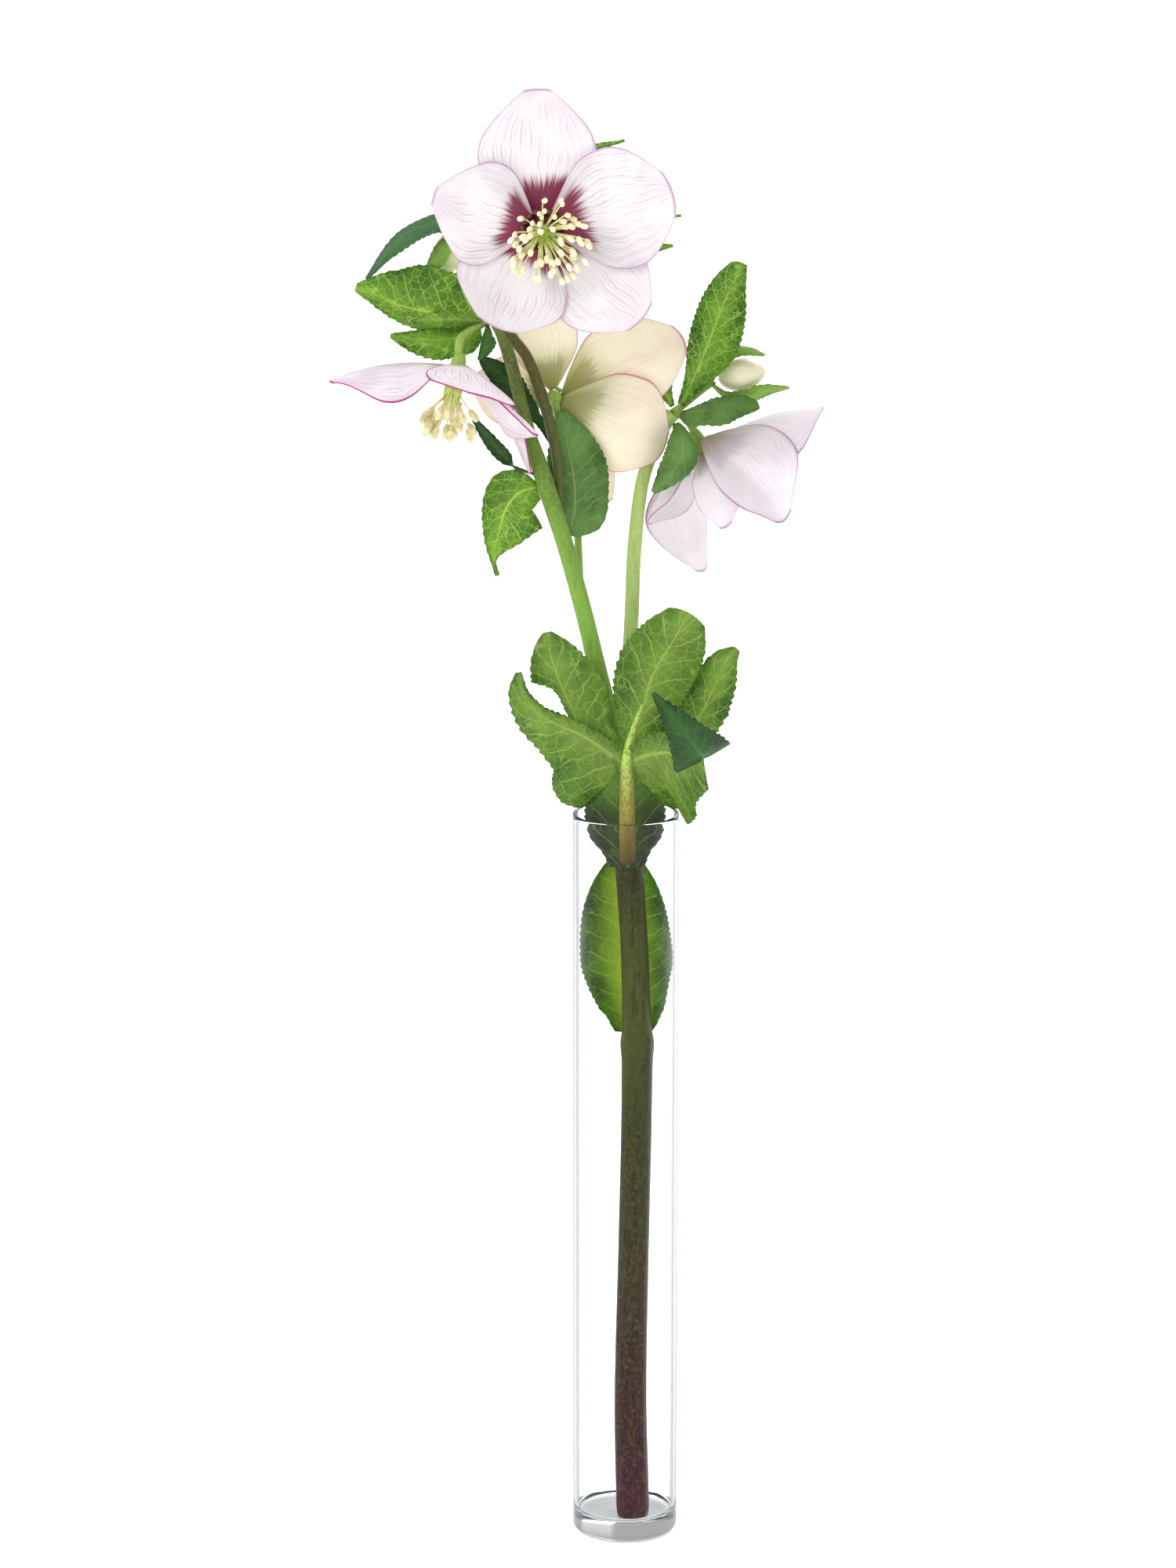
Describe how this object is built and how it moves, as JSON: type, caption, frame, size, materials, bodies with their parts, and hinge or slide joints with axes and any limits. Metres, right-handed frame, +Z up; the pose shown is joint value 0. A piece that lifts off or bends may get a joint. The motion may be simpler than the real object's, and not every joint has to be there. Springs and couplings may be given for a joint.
{
  "type": "hellebore flower stem in a vase",
  "caption": "Branched hellebore stem with open and nodding blooms, buds and leafy bracts, standing in a slim straight glass cylinder vase.",
  "frame": {"origin": "middle of the vase's flat underside", "axes": "+Z up along the vase, +X to the right and -Y towards the viewer, whom the largest bloom faces"},
  "size_m": [0.1459, 0.0931, 0.4467],
  "materials": {
    "glass": "polished",
    "stem": "satin",
    "leaf": "satin",
    "sepal": "matte",
    "cream_sepal": "matte",
    "nectary": "satin",
    "stamen": "matte",
    "bud": "matte"
  },
  "bodies": {
    "root": {"back_leaf_lower": "leaf", "back_leaf_middle": "leaf", "back_leaf_upper": "leaf", "bud_bract_left": "leaf", "bud_bract_lower": "leaf", "bud_bract_upper": "leaf", "centre_nectaries": "nectary", "centre_sepal_bottom": "cream_sepal", "centre_sepal_left": "cream_sepal", "centre_sepal_lower_right": "cream_sepal", "centre_sepal_top_left": "cream_sepal", "centre_sepal_upper_right": "cream_sepal", "centre_stamens": "stamen", "hero_nectaries": "nectary", "hero_sepal_bottom": "sepal", "hero_sepal_left": "sepal", "hero_sepal_lower_right": "sepal", "hero_sepal_top": "sepal", "hero_sepal_upper_right": "sepal", "hero_stamens": "stamen", "left_bud": "bud", "left_nectaries": "nectary", "left_sepal_back_left": "sepal", "left_sepal_back_right": "sepal", "left_sepal_front": "sepal", "left_sepal_front_right": "sepal", "left_sepal_left": "sepal", "left_stamens": "stamen", "middle_leaf_dark": "leaf", "middle_leaf_left": "leaf", "middle_leaf_narrow": "leaf", "middle_leaf_right": "leaf", "right_bud": "bud", "right_leaf_curled": "leaf", "right_leaf_drooping": "leaf", "right_leaf_inner": "leaf", "right_leaf_upright": "leaf", "right_nectaries": "nectary", "right_sepal_bottom": "sepal", "right_sepal_front": "sepal", "right_sepal_front_right": "sepal", "right_sepal_left": "sepal", "right_sepal_upper_back": "sepal", "right_stamens": "stamen", "rim_bract": "leaf", "stem": "stem", "upper_leaf_drooping": "leaf", "upper_leaf_fold": "leaf", "upper_leaf_large": "leaf", "upper_leaf_lower": "leaf", "upper_leaf_small": "leaf", "vase": "glass", "vase_leaf": "leaf"}
  },
  "joints": []
}
